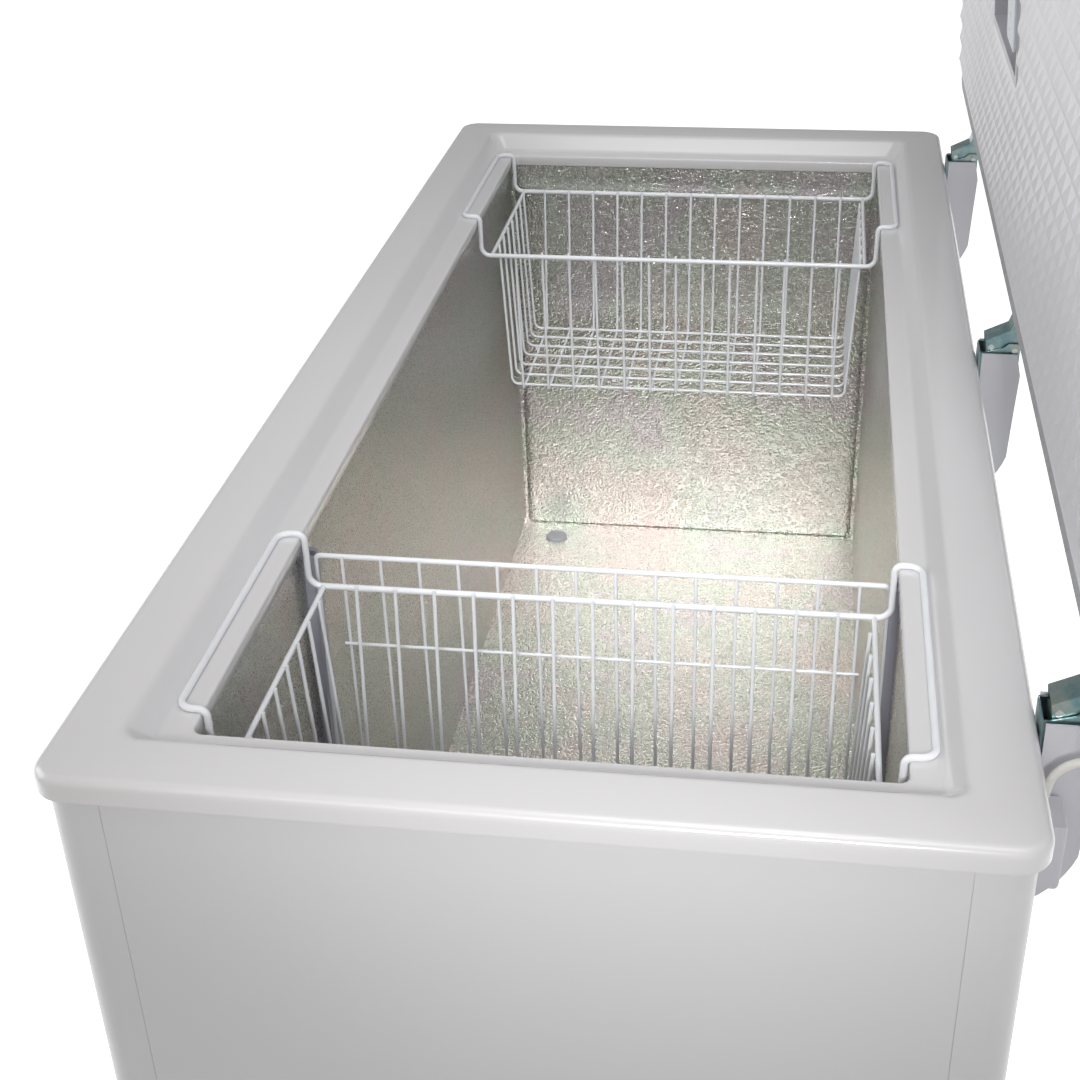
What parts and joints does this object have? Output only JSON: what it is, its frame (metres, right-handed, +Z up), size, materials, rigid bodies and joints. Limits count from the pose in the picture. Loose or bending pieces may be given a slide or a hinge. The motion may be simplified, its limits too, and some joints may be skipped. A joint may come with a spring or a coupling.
{
  "type": "chest freezer",
  "caption": "Long chest freezer with an open counterbalanced lid, lift-out wire baskets, a wire divider, metal liner, drain and compressor bay, on castors.",
  "frame": {"origin": "centre of the cabinet's footprint, on the floor", "axes": "+X along the freezer to its compressor end, +Y to the hinge side, +Z up"},
  "size_m": [1.574, 0.7843, 1.557],
  "materials": {
    "coated_steel": "satin",
    "lid_skin": "satin",
    "collar_moulding": "gloss",
    "lid_moulding": "satin",
    "foam": "matt",
    "liner_metal": "stucco embossed",
    "wire_coating": "gloss epoxy",
    "guide_plastic": "satin",
    "zinc_steel": "blue zinc plated",
    "bright_pin": "bright",
    "spring_steel": "drawn",
    "seal_rubber": "matt",
    "cover_plastic": "satin",
    "lamp_clear": "clear",
    "bulb_glass": "frosted",
    "lead_sheath": "satin",
    "black_steel": "satin",
    "black_plastic": "satin",
    "foot_rubber": "matt",
    "copper": "drawn",
    "tube_steel": "drawn",
    "drain_plastic": "satin",
    "lens_plastic": "gloss",
    "wheel_plastic": "satin"
  },
  "bodies": {
    "cabinet": {"base_frame": "zinc_steel", "castor_axles": "bright_pin", "castor_brackets": "zinc_steel", "compressor": "black_steel", "compressor_feet": "foot_rubber", "condenser_tube": "tube_steel", "divider_guides": "guide_plastic", "drain_fitting": "drain_plastic", "evaporator_tube": "copper", "filter_drier": "copper", "foam_body": "foam", "front_grille": "cover_plastic", "front_panel": "coated_steel", "hinge_brackets": "zinc_steel", "hinge_covers": "cover_plastic", "hinge_screws": "bright_pin", "hinge_springs": "spring_steel", "indicator_lamps": "lens_plastic", "lamp_lead": "lead_sheath", "lead_junction_box": "cover_plastic", "left_end_panel": "coated_steel", "liner_floor": "liner_metal", "liner_front_wall": "liner_metal", "liner_left_end": "liner_metal", "liner_rear_wall": "liner_metal", "liner_right_end": "liner_metal", "liner_step": "liner_metal", "mains_gland": "black_plastic", "pivot_pins": "bright_pin", "rear_grille": "cover_plastic", "rear_panel": "coated_steel", "refrigerant_pipes": "copper", "relay_cover": "black_plastic", "right_end_panel": "coated_steel", "thermostat_body": "black_plastic", "top_collar": "collar_moulding"},
    "lid": {"lid_outer_shell": "lid_skin", "lid_foam": "foam", "lid_inner_panel": "lid_moulding", "lid_gasket": "seal_rubber", "lamp_tray": "cover_plastic", "lamp_bulb": "bulb_glass", "lamp_cover": "lamp_clear", "lid_handle": "lid_moulding", "hinge_arms": "zinc_steel", "lever_pins": "bright_pin", "lead_grommet": "lead_sheath"},
    "plungers": {"hinge_plungers": "zinc_steel"},
    "basket_far": {"basket_far_frame": "wire_coating", "basket_far_grid": "wire_coating"},
    "basket_near": {"basket_near_frame": "wire_coating", "basket_near_grid": "wire_coating"},
    "divider": {"divider": "wire_coating"},
    "knob": {"thermostat_knob": "black_plastic"},
    "lock": {"lock_cylinder": "bright_pin"},
    "drain_plug": {"drain_plug": "drain_plastic"},
    "wheel_front_left": {"castor_wheel_front_left": "wheel_plastic"},
    "wheel_front_right": {"castor_wheel_front_right": "wheel_plastic"},
    "wheel_rear_left": {"castor_wheel_rear_left": "wheel_plastic"},
    "wheel_rear_right": {"castor_wheel_rear_right": "wheel_plastic"}
  },
  "joints": [
    {"name": "lid_hinge", "type": "hinge", "parent": "cabinet", "child": "lid", "pos_m": [0, 0.386, 0.8], "axis": [-1, 0, 0], "range_deg": [-86, 0], "stiffness_Nm_per_rad": 20, "springref_deg": 17.19, "deforming": ["lamp_lead"]},
    {"name": "plunger_slide", "type": "slide", "parent": "cabinet", "child": "plungers", "axis": [0, 0, 1], "range_m": [-0.0355, 0], "deforming": ["hinge_springs"]},
    {"name": "basket_far_lift", "type": "slide", "parent": "cabinet", "child": "basket_far", "axis": [0, 0, 1], "range_m": [0, 0.32]},
    {"name": "basket_near_lift", "type": "slide", "parent": "cabinet", "child": "basket_near", "axis": [0, 0, 1], "range_m": [0, 0.32]},
    {"name": "divider_lift", "type": "slide", "parent": "cabinet", "child": "divider", "axis": [0, 0, 1], "range_m": [0, 0.64]},
    {"name": "drain_plug_pull", "type": "slide", "parent": "cabinet", "child": "drain_plug", "axis": [0, 0, 1], "range_m": [0, 0.3]},
    {"name": "knob_turn", "type": "hinge", "parent": "cabinet", "child": "knob", "pos_m": [0.57, -0.35, 0.295], "axis": [0, -1, 0], "range_deg": [0, 270]},
    {"name": "lock_turn", "type": "hinge", "parent": "lid", "child": "lock", "pos_m": [0, 0.35162, 1.53539], "axis": [0, -0.0698, 0.9976], "range_deg": [0, 90]},
    {"name": "wheel_front_left_roll", "type": "hinge", "parent": "cabinet", "child": "wheel_front_left", "pos_m": [-0.69, -0.27, 0.025], "axis": [0, 1, 0], "continuous": true},
    {"name": "wheel_front_right_roll", "type": "hinge", "parent": "cabinet", "child": "wheel_front_right", "pos_m": [0.69, -0.27, 0.025], "axis": [0, 1, 0], "continuous": true},
    {"name": "wheel_rear_left_roll", "type": "hinge", "parent": "cabinet", "child": "wheel_rear_left", "pos_m": [-0.69, 0.27, 0.025], "axis": [0, 1, 0], "continuous": true},
    {"name": "wheel_rear_right_roll", "type": "hinge", "parent": "cabinet", "child": "wheel_rear_right", "pos_m": [0.69, 0.27, 0.025], "axis": [0, 1, 0], "continuous": true}
  ],
  "couplings": [
    {"joint": "plunger_slide", "follows": "lid_hinge", "m_per_rad": 0.0235}
  ]
}
